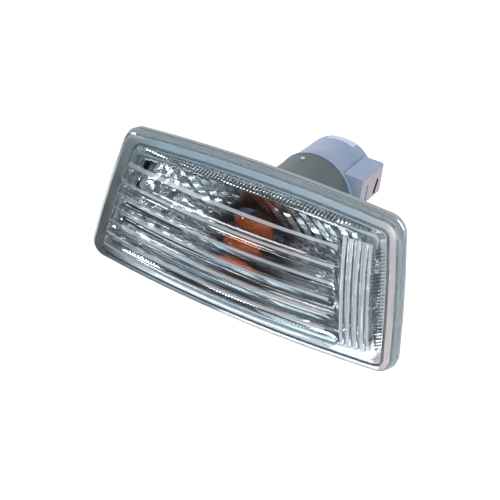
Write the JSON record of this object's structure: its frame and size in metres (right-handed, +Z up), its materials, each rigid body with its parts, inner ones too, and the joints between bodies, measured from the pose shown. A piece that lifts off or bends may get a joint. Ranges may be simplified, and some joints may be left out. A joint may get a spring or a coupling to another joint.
{
  "type": "side repeater lamp",
  "caption": "Car wing side repeater lamp: clear fluted rounded lens over a faceted reflector tray, round neck behind it with a plug-in holder and an amber wedge bulb.",
  "frame": {"origin": "on the axis of the neck, in the plane where the gasket seats on the car wing", "axes": "+X along the length to the right as seen from the front, +Y back along the neck into the car body, +Z up; the fluted front looks along -Y"},
  "size_m": [0.0916, 0.0669, 0.0461],
  "materials": {
    "clear_lens": "clear moulded acrylic",
    "bright_reflector": "vacuum metallised, facets",
    "grey_housing": "fine grained",
    "foam": "closed cell foam",
    "spring_steel": "bright",
    "amber_glass": "clear amber",
    "wire": "drawn",
    "holder_plastic": "satin",
    "seal_rubber": "smooth",
    "contact_brass": "tinned"
  },
  "bodies": {
    "root": {"lens": "clear_lens", "reflector": "bright_reflector", "housing": "grey_housing", "gasket": "foam", "retaining_spring": "spring_steel", "bulb_glass": "amber_glass", "filament": "wire", "lead_left": "wire", "lead_right": "wire", "holder": "holder_plastic", "holder_seal": "seal_rubber", "contact_left": "contact_brass", "contact_right": "contact_brass"}
  },
  "joints": []
}
